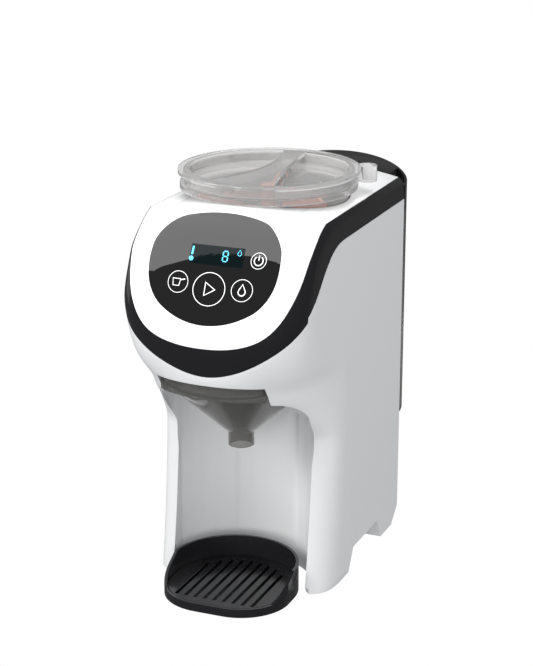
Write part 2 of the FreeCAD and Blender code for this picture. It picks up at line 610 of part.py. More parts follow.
for n, turn in enumerate((20.0, 140.0, 260.0)):
    for low, high, out in ((16.0, 22.0, 0.97), (44.0, 50.0, 0.86), (82.0, 91.0, 0.97)):
        bar = Part.makeBox(size("paddle_radius") * out, size("paddle_thick"), high - low,
                           V(0, -size("paddle_thick") / 2, low))
        bar.rotate(V(), V(0, 0, 1), turn + low)
        blades.append(put(solid(bar), ("0", "tub_y", "wheel_level")))
node("agitator", fuse(hub, *blades))

# clear lid with two finger scoops and a bar between them
lid_plate = cylinder("lid_radius", "lid_thick", tub_mid + ("lid_top - lid_thick",))
skirt = ring("rim_radius - tub_wall - 0.5", "rim_radius - tub_wall - 2.5", "lid_top - lid_thick - lid_plug",
             "lid_top - lid_thick + 0.5")


def scoop(side, grow, drop):
    """One finger scoop: a bowl beside the grip bar, which narrows towards the front."""
    r = size("scoop_radius") - grow
    start, end = math.radians(84 if side > 0 else 102), math.radians(-64 if side > 0 else 244)
    mid = (start + end) / 2
    def at(angle, radius):
        return V(radius * math.cos(angle), radius * math.sin(angle), 0)
    a, b, c = at(start, r), at(mid, r), at(end, r)
    inward = V(size("grip_right") + grow if side > 0 else size("grip_left") - grow, -4, 0)
    face = Part.Face(Part.Wire([Part.Arc(a, b, c).toShape(), Part.Arc(c, inward, a).toShape()]))
    depth = size("scoop_depth") + drop
    bowl = face.extrude(V(0, 0, -depth))
    return put(solid(bowl), ("0", "tub_y", "lid_top"))


lid_hole = [scoop(1, 0.0, 0.0), scoop(-1, 0.0, 0.0)]
lid_bowl = [scoop(side, -size("scoop_wall"), size("scoop_wall")) for side in (1, -1)]
ear_x = "(lid_radius + ear_out) * cos(ear_angle)"
ear_y = "tub_y + (lid_radius + ear_out) * sin(ear_angle)"
ear = fuse(cylinder("ear_radius", "lid_top - 1 - ear_low", (ear_x, ear_y, "ear_low")))
node("tub_lid", cut(fuse(lid_plate, skirt, ear, *lid_bowl), *lid_hole))

# funnel, drawn out forwards on its rails
spout_mid = ("0", "spout_y")


front_r, front_y = "face_radius", "face_front_y + face_radius"


def hopper(inset, low, high):
    """The funnel's box in plan between two levels: the visor's curve in front, square behind."""
    half, back = size("hopper_half") - inset, size("hopper_back") - inset
    radius = size("face_radius") - inset
    mid = size("face_front_y") + size("face_radius")
    bend = mid - math.sqrt(radius * radius - half * half)
    return solid(prism([(half, back, low), (-half, back, low), (-half, bend, low),
                        ("arc", (0, mid - radius, low), (half, bend, low))], (0, 0, high - low)))


def funnel_form(inset, top):
    """The funnel's bowl, drawn in by inset: a cone clipped by the box above the spout."""
    low, flare = size("spout_top"), size("spout_flare") - inset
    slope = (size("cone_radius") - size("spout_flare")) / (size("cone_top") - size("spout_top"))
    lift = 0.5 * inset
    body = Part.makeCone(flare, flare + slope * (top - low), top - low,
                         V(0, size("spout_y"), low + lift))
    return common(solid(body), hopper(inset, low - 1, top))


wall = size("funnel_wall")
plate_top = size("plate_level") + 2.2
sheet = common(box("2 * face_half", "200", "2.2", ("-face_half", "-200 + hopper_back",
                                                   "plate_level")),
               cylinder(front_r + " - 1", "60", ("0", front_y, "face_low - 10")))
visor = cut(cylinder(front_r, "face_top - face_low", ("0", front_y, "face_low")),
            cylinder(front_r + " - 2.2", "60", ("0", front_y, "face_low - 20")))
visor_part = common(visor, box("2 * face_half", "40", "60", ("-face_half", "face_front_y - 5",
                                                            "face_low - 10")))
spout = cylinder("spout_radius", "spout_top - spout_low + 0.4", spout_mid + ("spout_low",))
spout_way = cylinder("spout_radius - funnel_wall", "40", spout_mid + ("spout_low - 2",))
node("mixing_funnel", cut(fuse(funnel_form(0.0, plate_top), spout, sheet, visor_part),
                          spout_way, funnel_form(wall, plate_top + 20)))
rails = []
for sign in (-1, 1):
    for wide, x0, low, high in ((3.0, 46.5, -4.0, 5.0), (2.2, 44.6, -4.0, -0.6), (2.2, 44.6, 2.8, 5.0)):
        left = x0 if sign > 0 else -x0 - wide
        rails.append(box("%g" % wide, "hopper_back + rail_front", "%g" % (high - low),
                         ("%g" % left, "-rail_front", "plate_level + %g" % low)))
frame_plate = box("2 * 49.5", "hopper_back + rail_front", "2.4",
                  ("-49.5", "-rail_front", "plate_level + 5"))
frame_way = cylinder("36", "20", spout_mid + ("plate_level",))
props = [cylinder("3.5", "deck_level - plate_level - 7", (x, y, "plate_level + 7"))
         for x in ("-44", "44") for y in ("-rail_front + 6", "hopper_back - 6")]
node("funnel_rails", fuse(cut(fuse(*(rails + [frame_plate])), frame_way), *props))
chute_mid = ("0", "tub_y - drop_offset")
chute = cut(fuse(cylinder("drop_radius + 2", "deck_level + deck_thick + 6 - chute_low",
                          chute_mid + ("chute_low",)),
                 cylinder("drop_radius + 6", "1.6", chute_mid + ("deck_level + deck_thick",))),
            cylinder("drop_radius", "60", chute_mid + ("chute_low - 5",)))
node("powder_chute", chute)
node("water_nozzle", cut(fuse(cylinder("4", "deck_level - nozzle_low", ("0", "nozzle_y", "nozzle_low")),
                              cylinder("7", "3", ("0", "nozzle_y", "deck_level - 3"))),
                         cylinder("2", "60", ("0", "nozzle_y", "nozzle_low - 5"))))

# drip tray and its grid


def tray_plan(inset):
    """The tray in plan: a round back, short straight sides and soft front corners."""
    half, mid, front = size("tray_half") - inset, size("tray_y"), size("tray_front") + inset
    corner = size("tray_corner") - inset
    bend = corner * (1 - math.sqrt(0.5))
    return [(half, mid, 0), ("arc", (0, mid + half, 0), (-half, mid, 0)), (-half, front + corner, 0),
            ("arc", (-half + bend, front + bend, 0), (-half + corner, front, 0)),
            (half - corner, front, 0), ("arc", (half - bend, front + bend, 0), (half, front + corner, 0))]


tray_out = solid(prism(tray_plan(0.0), (0, 0, size("tray_rim"))))
tray_in = solid(prism(tray_plan(size("tray_wall")), (0, 0, 60)))
tray_in.Placement.Base = V(0, 0, size("tray_floor"))
ramp = solid(prism([(-FAR, -FAR, size("tray_lip")), (-FAR, size("tray_low_end"), size("tray_lip")),
                    (-FAR, size("tray_high_start"), size("tray_rim") + 0.01), (-FAR, -FAR, 60)],
                   (2 * FAR, 0, 0)))
tray_ledge = cut(solid(prism(tray_plan(0.5), (0, 0, size("grid_level")))),
                 solid(prism(tray_plan(5.0), (0, 0, 40))))
node("drip_tray", fuse(cut(tray_out, tray_in, ramp), tray_ledge))
grid_plan = prism(tray_plan(size("tray_wall") + 0.5), (0, 0, size("grid_thick")))
grid_form = solid(grid_plan)
grid_form.Placement.Base = V(0, 0, size("grid_level"))
slots = []
middle = (int(size("slot_count")) - 1) / 2.0
for n in range(int(size("slot_count"))):
    x = (n - middle) * size("slot_pitch")
    room = math.sqrt(max((size("tray_half") - 12) ** 2 - x * x, 100.0))
    run = size("tray_y") + room - (size("tray_front") + 12)
    slots.append(solid(Part.makeBox(size("slot_width"), run, 20,
                                    V(x - size("slot_width") / 2, size("tray_front") + 12, 0))))
node("drip_grid", cut(grid_form, *slots))

# water tank, its lid and the dock it stands on


def tank_plan(radius, front, low, high):
    """The tank's D plan between two levels: flat against the body, round behind."""
    mid = size("tank_middle")
    x = math.sqrt(radius * radius - (front - mid) ** 2)
    return solid(prism([(x, front, low), ("arc", (0, mid + radius, low), (-x, front, low))],
                       (0, 0, high - low)))


tank_r, tank_f, wall_t = size("tank_radius"), size("tank_front"), size("tank_wall")
tank_low, tank_top = size("tank_low"), size("tank_top")
tank_out = tank_plan(tank_r, tank_f, tank_low, tank_top)
tank_in = tank_plan(tank_r - wall_t, tank_f + wall_t, tank_low + wall_t, tank_top + 20)
port = cylinder("port_radius + 2.4", "tank_low - dock_top + port_deep",
                ("0", "port_y", "dock_top - port_deep"))
port_way = cylinder("port_radius", "40", ("0", "port_y", "dock_top - port_deep - 5"))
ears = [box("3", "7", "26", (x, "hinge_y - 3.0", "tank_top - 5")) for x in ("-42", "39")]
ear_root = [box("3", "6", "5", (x, "tank_front", "tank_top - 5")) for x in ("-42", "39")]
pin_way = cylinder("pin_radius + 0.05", "200", ("-100", "hinge_y", "hinge_level"), (1, 0, 0))
node("water_tank", cut(fuse(cut(fuse(tank_out, port), tank_in), *(ears + ear_root)), port_way,
                       pin_way))
node("hinge_pin", cylinder("pin_radius", "98", ("-49", "hinge_y", "hinge_level"), (1, 0, 0)))
lid_low = tank_top + size("tank_gap")
lid_out = tank_plan(tank_r, tank_f + 0.6, lid_low, size("tank_lid_top") + 10)
lid_in = tank_plan(tank_r - wall_t, tank_f + 0.6 + wall_t, lid_low - 5, size("tank_lid_top") - wall_t)
lid_top_z = size("tank_lid_top")
lid_crown = solid(prism([(-90, 0, lid_low - 5), (90, 0, lid_low - 5), (90, 0, lid_top_z - 7),
                         (tank_r - 1, 0, lid_top_z - 7),
                         ("arc", (0, 0, lid_top_z + 3), (1 - tank_r, 0, lid_top_z - 7)),
                         (-90, 0, lid_top_z - 7)], (0, 200, 0)))
lid_slope = solid(prism([(-FAR, tank_f - 5, lid_top_z - 4.4), (-FAR, tank_f + 0.6, lid_top_z - 4.4),
                         (-FAR, tank_f + 9, lid_top_z + 5), (-FAR, tank_f + 9, lid_top_z + 20),
                         (-FAR, tank_f - 5, lid_top_z + 20)], (2 * FAR, 0, 0)))
lid_lugs = [box("3", "hinge_y + 3 - tank_front - 2", "lug_high",
                (x, "tank_front + 2", "tank_lid_top - tank_wall - lug_high + 0.2"))
            for x in ("-46", "43")]
notches = [box("5", "4", "hinge_level + 2 - tank_top", (x, "tank_front", "tank_top"))
           for x in ("-43", "38")]
node("tank_lid", cut(fuse(cut(common(lid_out, lid_crown), lid_in, lid_slope, *notches), *lid_lugs),
                     cylinder("pin_radius - 0.01", "200", ("-100", "hinge_y", "hinge_level"), (1, 0, 0))))
dock_out = tank_plan(size("dock_radius"), size("side_back") + 0.3, size("foot_drop"), size("dock_top"))
dock_in = tank_plan(size("dock_radius") - 3, size("side_back") + 3.3, size("foot_drop") - 2,
                    size("dock_top") - 3)
cup = cylinder("port_radius + 6", "port_deep + 4", ("0", "port_y", "dock_top - port_deep - 3.4"))
cup_way = cylinder("port_radius + 2.9", "40", ("0", "port_y", "dock_top - port_deep - 0.4"))
spigot = cylinder("4", "12", ("0", "port_y", "dock_top - port_deep - 14"))
spigot_way = cylinder("2.4", "40", ("0", "port_y", "dock_top - port_deep - 20"))
foot_posts = [cylinder("foot_radius + 1", "dock_top - 2 - foot_drop", (x, "dock_foot_y", "foot_drop"))
              for x in ("-dock_foot_x", "dock_foot_x")]
hose_way = cylinder("port_radius", "20", ("0", "side_back - 5", "port_level"), (0, 1, 0))
node("tank_dock", cut(fuse(cut(dock_out, dock_in), cup, spigot, *foot_posts), cup_way, spigot_way,
                      hose_way))
seal = cut(cylinder("port_radius + 5.8", "1.6", ("0", "port_y", "dock_top")),
           cylinder("port_radius + 2.6", "10", ("0", "port_y", "dock_top - 2")))
poppet = fuse(cylinder("port_radius + 2", "2", ("0", "port_y", "tank_low + tank_wall")),
              cylinder("2", "tank_low + tank_wall - dock_top + port_deep - 1",
                       ("0", "port_y", "dock_top - port_deep + 1")))
node("tank_valve", poppet)
floater = cut(cylinder("float_radius", "float_high", ("float_x", "float_y", "float_low")),
              cylinder("3.4", "100", ("float_x", "float_y", "float_low - 20")))
node("level_float", floater)
node("float_rod", cylinder("3", "float_rod_high", ("float_x", "float_y", "tank_low + tank_wall")))

# water path and electrics inside the body
node("water_pump", fuse(cylinder("18", "40", ("40", "60", "body_floor + plate_thick")),
                        box("24", "30", "18", ("28", "45", "body_floor + plate_thick")),
                        cylinder("4", "8", ("40", "60", "body_floor + plate_thick + 39"))))
node("water_heater", fuse(cylinder("16", "90", ("-36", "45", "body_floor + plate_thick")),
                          box("44", "44", "4", ("-58", "23", "body_floor + plate_thick")),
                          cylinder("4", "8", ("-36", "45", "body_floor + plate_thick + 89"))))


def hose(points, bend):
    """A hose bent through the points, with rounded corners."""
    path = [V(*p) for p in points]
    edges, here = [], path[0]
    for i in range(1, len(path) - 1):
        a, b = path[i].sub(path[i - 1]).normalize(), path[i + 1].sub(path[i]).normalize()
        start, end = path[i].sub(a.multiply(bend)), path[i].add(b.multiply(bend))
        via = start.add(end).multiply(0.5)
        via = via.add(V(*points[i]).sub(via).multiply(0.4142))
        edges.append(Part.LineSegment(here, start).toShape())
        edges.append(Part.Arc(start, via, end).toShape())
        here = end
    edges.append(Part.LineSegment(here, path[-1]).toShape())
    return edges


def tube(points, radius, inner_radius):
    path = Part.Wire(hose(points, size("hose_bend")))
    first = V(*points[0])
    aim = V(*points[1]).sub(first)
    shapes = []
    for r in (radius, inner_radius):
        section = Part.Wire([Part.Circle(first, aim, r).toShape()])
        shapes.append(path.makePipeShell([section], True, False))
    return solid(shapes[0].cut(shapes[1]))


pump_out = size("body_floor") + size("plate_thick") + 47
heat_out = size("body_floor") + size("plate_thick") + 97
port_z, port_y = size("port_level"), size("port_y")
node("feed_hose", tube([(0, port_y, size("dock_top") - size("port_deep") - 14.2), (0, port_y, port_z),
                        (0, 62, port_z), (21.8, 62, port_z)], 4.0, 2.4))
node("rising_hose", tube([(40, 60, pump_out + 0.2), (40, 60, 150), (-36, 60, 150), (-36, 45, 150),
                          (-36, 45, heat_out + 0.2)], 4.0, 2.4))
power = box("1.6", "80", "70", (BOARD_X, "-14", "95"))
stands = [cylinder("2.5", "board_inset - wall - 1.6", (BOARD_X + " + 1.6", y, z), (1, 0, 0))
          for y in ("-8", "60") for z in ("101", "159")]
node("power_board", fuse(power, box("14", "20", "18", (BOARD_X + " - 14", "0", "110")),
                         box("18", "26", "24", (BOARD_X + " - 18", "30", "108"))))
node("board_stands", fuse(*stands))
node("power_inlet", fuse(box("inlet_wide - 0.4", "16", "inlet_high - 0.4",
                             ("inlet_x - inlet_wide / 2 + 0.2", "side_back - 16",
                              "inlet_level + 0.2")),
                         box("inlet_wide + 8", "3", "inlet_high + 8",
                             ("inlet_x - inlet_wide / 2 - 4", "side_back - wall - 3",
                              "inlet_level - 4"))))

doc.recompute()
os.makedirs("parts", exist_ok=True)
for obj in doc.Objects:
    if "Invalid" in obj.State or "Error" in obj.State:
        raise RuntimeError("%s failed" % obj.Label)
for name, obj in nodes.items():
    if obj.Shape.isNull() or not obj.Shape.isValid() or not obj.Shape.Solids:
        raise RuntimeError("%s has no sound shape" % name)
for name, obj in nodes.items():
    obj.Shape.exportStep("parts/%s.step" % name)
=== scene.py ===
"""Baby formula maker: finishes, printed keys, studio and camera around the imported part.

The world is in metres, with the ground at z = 0 and the machine's front towards -Y. A size is in
millimetres unless its docstring says otherwise.
"""

from __future__ import annotations

import json
import logging
import math
from collections.abc import Iterable, Iterator, Sequence
from contextlib import contextmanager
from dataclasses import dataclass
from enum import Enum

import bpy
from mathutils import Matrix, Vector
from mathutils.bvhtree import BVHTree

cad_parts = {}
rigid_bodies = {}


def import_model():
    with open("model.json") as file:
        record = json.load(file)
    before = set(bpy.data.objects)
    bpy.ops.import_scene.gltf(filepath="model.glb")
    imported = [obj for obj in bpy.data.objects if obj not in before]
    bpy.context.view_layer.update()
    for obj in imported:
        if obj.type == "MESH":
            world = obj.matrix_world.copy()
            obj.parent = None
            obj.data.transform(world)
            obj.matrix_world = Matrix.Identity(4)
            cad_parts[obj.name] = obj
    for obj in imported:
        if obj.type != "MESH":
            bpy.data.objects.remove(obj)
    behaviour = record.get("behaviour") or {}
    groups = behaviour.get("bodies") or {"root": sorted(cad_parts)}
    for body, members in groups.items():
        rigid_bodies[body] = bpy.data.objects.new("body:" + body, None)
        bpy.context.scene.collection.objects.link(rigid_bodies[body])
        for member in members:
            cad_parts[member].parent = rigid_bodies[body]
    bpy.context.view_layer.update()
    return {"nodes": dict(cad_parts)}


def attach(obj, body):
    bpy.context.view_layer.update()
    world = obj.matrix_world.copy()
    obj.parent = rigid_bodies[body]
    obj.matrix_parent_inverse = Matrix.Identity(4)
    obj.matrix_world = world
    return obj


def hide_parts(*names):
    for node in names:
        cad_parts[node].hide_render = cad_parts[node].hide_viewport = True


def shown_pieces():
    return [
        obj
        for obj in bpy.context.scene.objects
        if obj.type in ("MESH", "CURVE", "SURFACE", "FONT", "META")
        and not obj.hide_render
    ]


LOG = logging.getLogger("formula_maker")
MM = 0.001
SEAM_GAP = 0.02 * MM
Point2 = tuple[float, float]
Point3 = tuple[float, float, float]
Colour = tuple[float, float, float]


class Body(str, Enum):
    """The CAD bodies that extra pieces ride on."""

    HOUSING = "housing"


class Look(str, Enum):
    """The finishes of the machine, one material each."""

    GREY = "satin_grey_plastic"
    WHITE = "gloss_white_plastic"
    BLACK = "gloss_black_plastic"
    INNER = "matte_black_plastic"
    GLASS = "touch_glass"
    CLEAR = "clear_plastic"
    SMOKED = "smoked_plastic"
    CORAL = "coral_plastic"
    RUBBER = "rubber"
    STEEL = "steel"
    BOARD = "circuit_board"
    BRONZE = "bronze"
    HOSE = "hose"
    NYLON = "nylon"
    PRINT = "key_print"
    DISPLAY = "display_segments"
    SCREEN = "display_window"


@dataclass(frozen=True)
class Finish:
    """The numbers of one plastic, metal or glass finish.

    Attributes:
        base: Base colour, linear.
        rough: Roughness of the surface.
        metal: Metallic share.
        clear: Transmission share.
        coat: Weight of a clear coat.
        ior: Index of refraction.
        grain: Height of the fine surface grain.
        grain_scale: Grain density, per metre.
        glow: Emission strength in the base colour.
    """

    base: Colour
    rough: float = 0.35
    metal: float = 0.0
    clear: float = 0.0
    coat: float = 0.0
    ior: float = 1.48
    grain: float = 0.0
    grain_scale: float = 900.0
    glow: float = 0.0


FINISHES: dict[Look, Finish] = {
    Look.GREY: Finish((0.60, 0.60, 0.60), rough=0.45, grain=0.012, grain_scale=2600.0),
    Look.WHITE: Finish(
        (0.90, 0.90, 0.90), rough=0.20, coat=0.3, grain=0.003, grain_scale=1800.0
    ),
    Look.BLACK: Finish(
        (0.010, 0.010, 0.011), rough=0.18, ior=1.45, grain=0.003, grain_scale=1800.0
    ),
    Look.INNER: Finish((0.02, 0.02, 0.021), rough=0.55, grain=0.02, grain_scale=1500.0),
    Look.GLASS: Finish((0.0015, 0.0015, 0.0016), rough=0.02, ior=2.3),
    Look.CLEAR: Finish((0.72, 0.715, 0.71), rough=0.05, clear=0.80, ior=1.30),
    Look.SMOKED: Finish((0.38, 0.375, 0.365), rough=0.06, clear=0.88, ior=1.25),
    Look.CORAL: Finish((0.84, 0.27, 0.17), rough=0.40, grain=0.010, grain_scale=1600.0),
    Look.RUBBER: Finish((0.02, 0.02, 0.02), rough=0.8, grain=0.03),
    Look.STEEL: Finish(
        (0.56, 0.56, 0.57), rough=0.32, metal=1.0, grain=0.006, grain_scale=1400.0
    ),
    Look.BOARD: Finish((0.02, 0.12, 0.05), rough=0.45),
    Look.BRONZE: Finish((0.50, 0.33, 0.13), rough=0.35, metal=1.0, grain=0.010),
    Look.HOSE: Finish((0.75, 0.75, 0.72), rough=0.5, clear=0.3),
    Look.NYLON: Finish((0.74, 0.73, 0.68), rough=0.5, grain=0.012, grain_scale=1500.0),
    Look.PRINT: Finish((0.82, 0.82, 0.82), rough=0.5, glow=0.25),
    Look.DISPLAY: Finish((0.12, 0.62, 0.86), rough=0.5, glow=0.75),
    Look.SCREEN: Finish((0.0012, 0.005, 0.006), rough=0.05),
}

NODE_LOOKS: dict[str, Look] = {
    "body_shell": Look.GREY,
    "trim_band": Look.BLACK,
    "fascia": Look.WHITE,
    "touch_glass": Look.GLASS,
    "powder_tub": Look.CLEAR,
    "tub_lid": Look.CLEAR,
    "agitator": Look.CORAL,
    "mixing_funnel": Look.SMOKED,
    "drip_tray": Look.BLACK,
    "drip_grid": Look.BLACK,
    "water_tank": Look.SMOKED,
    "float_rod": Look.SMOKED,
    "tank_lid": Look.BLACK,
    "rubber_feet": Look.RUBBER,
    "tank_valve": Look.RUBBER,
    "control_board": Look.BOARD,
    "power_board": Look.BOARD,
    "shaft_bush": Look.BRONZE,
    "feed_hose": Look.HOSE,
    "rising_hose": Look.HOSE,
    "base_screws": Look.STEEL,
    "drive_shaft": Look.STEEL,
    "gear_motor": Look.STEEL,
    "motor_spindle": Look.STEEL,
    "motor_bracket": Look.STEEL,
    "hinge_pin": Look.STEEL,
    "water_heater": Look.STEEL,
    "deck_plate": Look.NYLON,
    "drive_gear": Look.NYLON,
    "motor_pinion": Look.NYLON,
    "metering_wheel": Look.NYLON,
    "funnel_rails": Look.NYLON,
    "powder_chute": Look.NYLON,
    "water_nozzle": Look.NYLON,
    "level_float": Look.NYLON,
    "board_stands": Look.NYLON,
}


class FinishShop:
    """Makes each material once and gives it to the pieces."""

    COAT_ROUGH = 0.08
    GRAIN_DETAIL = 3.0
    SEEN_THROUGH_FROM = 0.5

    def __init__(self) -> None:
        """Starts with the grain group and no material."""
        self._made: dict[Look, bpy.types.Material] = {}
        self._grain = self._make_grain_group()

    def _make_grain_group(self) -> bpy.types.NodeTree:
        """Makes the node group that turns object coordinates into a fine surface grain.

        Returns:
            The group, with Density and Height inputs and a Normal output.
        """
        group = bpy.data.node_groups.new("surface_grain", "ShaderNodeTree")
        face = group.interface
        face.new_socket("Density", in_out="INPUT", socket_type="NodeSocketFloat")
        face.new_socket("Height", in_out="INPUT", socket_type="NodeSocketFloat")
        face.new_socket("Normal", in_out="OUTPUT", socket_type="NodeSocketVector")
        nodes, links = group.nodes, group.links
        entry = nodes.new("NodeGroupInput")
        leave = nodes.new("NodeGroupOutput")
        place = nodes.new("ShaderNodeTexCoord")
        noise = nodes.new("ShaderNodeTexNoise")
        bump = nodes.new("ShaderNodeBump")
        noise.inputs["Detail"].default_value = self.GRAIN_DETAIL
        bump.inputs["Strength"].default_value = 1.0
        links.new(place.outputs["Object"], noise.inputs["Vector"])
        links.new(entry.outputs["Density"], noise.inputs["Scale"])
        links.new(entry.outputs["Height"], bump.inputs["Distance"])
        links.new(noise.outputs["Fac"], bump.inputs["Height"])
        links.new(bump.outputs["Normal"], leave.inputs["Normal"])
        return group

    def material(self, look: Look) -> bpy.types.Material:
        """Returns the material of a look, made at its first use.

        Args:
            look: The finish wanted.

        Returns:
            The Blender material.
        """
        if look not in self._made:
            self._made[look] = self._make(look, FINISHES[look])
        return self._made[look]

    def _make(self, look: Look, finish: Finish) -> bpy.types.Material:
        """Builds one material from its numbers.

        Args:
            look: The look's name.
            finish: The numbers.

        Returns:
            The Blender material.
        """
        made = bpy.data.materials.new(look.value)
        made.use_nodes = True
        made.diffuse_color = (*finish.base, 1.0)
        shader = made.node_tree.nodes["Principled BSDF"]
        values: dict[str, object] = {
            "Base Color": (*finish.base, 1.0),
            "Roughness": finish.rough,
            "Metallic": finish.metal,
            "IOR": finish.ior,
            "Transmission Weight": finish.clear,
            "Coat Weight": finish.coat,
            "Coat Roughness": self.COAT_ROUGH,
        }
        if finish.glow:
            values |= {"Emission Color": (*finish.base, 1.0), "Emission Strength": finish.glow}
        for socket, value in values.items():
            shader.inputs[socket].default_value = value
        if finish.grain:
            grain = made.node_tree.nodes.new("ShaderNodeGroup")
            grain.node_tree = self._grain
            grain.inputs["Density"].default_value = finish.grain_scale
            grain.inputs["Height"].default_value = finish.grain * MM
            made.node_tree.links.new(grain.outputs["Normal"], shader.inputs["Normal"])
        if finish.clear > self.SEEN_THROUGH_FROM:
            self._let_light_in(made.node_tree, shader, finish)
        return made

    @staticmethod
    def _let_light_in(
        tree: bpy.types.NodeTree, shader: bpy.types.Node, finish: Finish
    ) -> None:
        """Lets lamp light pass through a clear plastic, so that what is inside is lit.

        Args:
            tree: The material's node tree.
            shader: Its main shader.
            finish: The plastic's numbers.
        """
        path = tree.nodes.new("ShaderNodeLightPath")
        open_way = tree.nodes.new("ShaderNodeBsdfTransparent")
        either = tree.nodes.new("ShaderNodeMath")
        mix = tree.nodes.new("ShaderNodeMixShader")
        either.operation = "MAXIMUM"
        open_way.inputs["Color"].default_value = (*finish.base, 1.0)
        tree.links.new(path.outputs["Is Shadow Ray"], either.inputs[0])
        tree.links.new(path.outputs["Is Diffuse Ray"], either.inputs[1])
        tree.links.new(either.outputs["Value"], mix.inputs["Fac"])
        tree.links.new(shader.outputs["BSDF"], mix.inputs[1])
        tree.links.new(open_way.outputs["BSDF"], mix.inputs[2])
        tree.links.new(mix.outputs["Shader"], tree.nodes["Material Output"].inputs["Surface"])

    def dress(self, obj: bpy.types.Object, look: Look) -> None:
        """Gives a piece its one material.

        Args:
            obj: The piece.
            look: Its finish.
        """
        obj.data.materials.clear()
        obj.data.materials.append(self.material(look))


@dataclass(frozen=True)
class EdgeRounding:
    """The rounding of a piece's sharp edges, for the eye.

    Attributes:
        width: How wide the rounding is.
        steps: How many flats it is made of.
        from_angle: The bend from which an edge counts as sharp, in degrees.
    """

    width: float
    steps: int = 3
    from_angle: float = 32.0

    def add_to(self, obj: bpy.types.Object) -> None:
        """Puts the rounding on a piece.

        Args:
            obj: The piece.
        """
        bevel = obj.modifiers.new("soft_edges", "BEVEL")
        bevel.width = self.width * MM
        bevel.segments = self.steps
        bevel.limit_method = "ANGLE"
        bevel.angle_limit = math.radians(self.from_angle)
        bevel.harden_normals = True


class CadDresser:
    """Gives the CAD nodes their materials and softened edges, without moving them."""

    SOFT_EDGES: dict[str, EdgeRounding] = {
        "trim_band": EdgeRounding(0.7),
        "fascia": EdgeRounding(0.5),
        "drip_tray": EdgeRounding(0.7),
        "drip_grid": EdgeRounding(0.4),
        "mixing_funnel": EdgeRounding(0.4),
        "powder_tub": EdgeRounding(0.5),
        "tub_lid": EdgeRounding(0.6),
        "tank_lid": EdgeRounding(1.2),
        "water_tank": EdgeRounding(0.7),
        "touch_glass": EdgeRounding(0.3),
    }

    def __init__(self, nodes: dict[str, bpy.types.Object], shop: FinishShop) -> None:
        """Keeps the CAD nodes and the shop.

        Args:
            nodes: The CAD nodes by name.
            shop: Where the finishes come from.
        """
        self._nodes = nodes
        self._shop = shop

    def run(self) -> None:
        """Dresses every node."""
        for name, obj in self._nodes.items():
            self._shop.dress(obj, NODE_LOOKS.get(name, Look.INNER))
            if name in self.SOFT_EDGES:
                weld = obj.modifiers.new("close_seams", "WELD")
                weld.merge_threshold = SEAM_GAP
                self.SOFT_EDGES[name].add_to(obj)


@contextmanager
def editing(obj: bpy.types.Object) -> Iterator[None]:
    """Opens one object in edit mode, with nothing else selected, and closes it again.

    Args:
        obj: The object to work on.

    Yields:
        Nothing; the selection inside the object is left as it was.
    """
    bpy.ops.object.select_all(action="DESELECT")
    obj.select_set(True)
    bpy.context.view_layer.objects.active = obj
    bpy.ops.object.mode_set(mode="EDIT")
    try:
        yield
    finally:
        bpy.ops.object.mode_set(mode="OBJECT")


